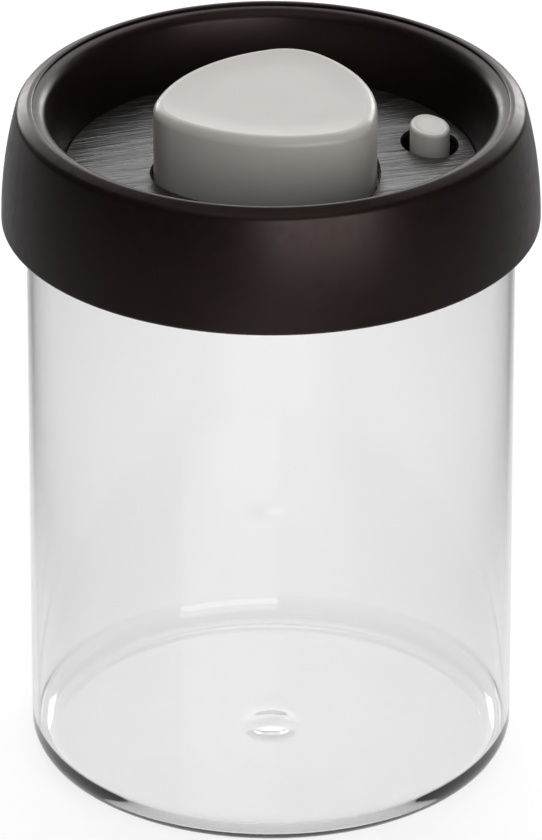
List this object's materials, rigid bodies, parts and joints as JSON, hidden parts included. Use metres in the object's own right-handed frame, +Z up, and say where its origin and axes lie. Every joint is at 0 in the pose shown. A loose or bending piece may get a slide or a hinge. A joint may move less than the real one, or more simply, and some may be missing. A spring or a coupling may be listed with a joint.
{
  "type": "vacuum seal canister",
  "caption": "Straight glass food canister with a dished dark lid that holds a rounded triangular press pump and an oval release button, for drawing air out of the jar.",
  "frame": {"origin": "middle of the glass jar's foot, on the surface that it stands on", "axes": "+Z up along the jar's axis, +X from the middle of the lid through the release button, +Y to complete a right-handed frame"},
  "size_m": [0.11, 0.11, 0.147],
  "materials": {
    "clear_glass": "clear polished",
    "dark_plastic": "satin",
    "wood_grain": "embossed wood grain",
    "adhesive": "matt film",
    "dark_base": "satin",
    "silicone": "soft matt",
    "steel": "plain",
    "spring_steel": "drawn wire",
    "grey_plastic": "satin",
    "pale_plastic": "satin"
  },
  "bodies": {
    "jar": {"glass_jar": "clear_glass"},
    "lid": {"lid_shell": "dark_plastic", "inlay_disc": "wood_grain", "inlay_adhesive": "adhesive", "lid_base": "dark_base", "jar_gasket": "silicone", "deck_screws": "steel", "pump_cylinder": "grey_plastic", "cylinder_seal": "silicone", "inlet_valve": "silicone", "pump_spring": "spring_steel", "release_spring": "spring_steel"},
    "pump": {"pump_button": "pale_plastic", "piston_head": "grey_plastic", "piston_cup": "silicone", "cup_washer": "steel", "piston_screw": "steel"},
    "release": {"release_button": "pale_plastic", "release_stem": "grey_plastic", "release_seal": "silicone"}
  },
  "joints": [
    {"name": "lid_lift", "type": "slide", "parent": "jar", "child": "lid", "axis": [0, 0, 1], "range_m": [0, 0.085]},
    {"name": "pump_press", "type": "slide", "parent": "lid", "child": "pump", "axis": [0, 0, -1], "range_m": [0, 0.01], "stiffness_N_per_m": 550, "springref_m": -0.018, "deforming": ["pump_spring"]},
    {"name": "release_press", "type": "slide", "parent": "lid", "child": "release", "axis": [0, 0, -1], "range_m": [0, 0.0025], "stiffness_N_per_m": 1400, "springref_m": -0.0015, "deforming": ["release_spring"]}
  ]
}
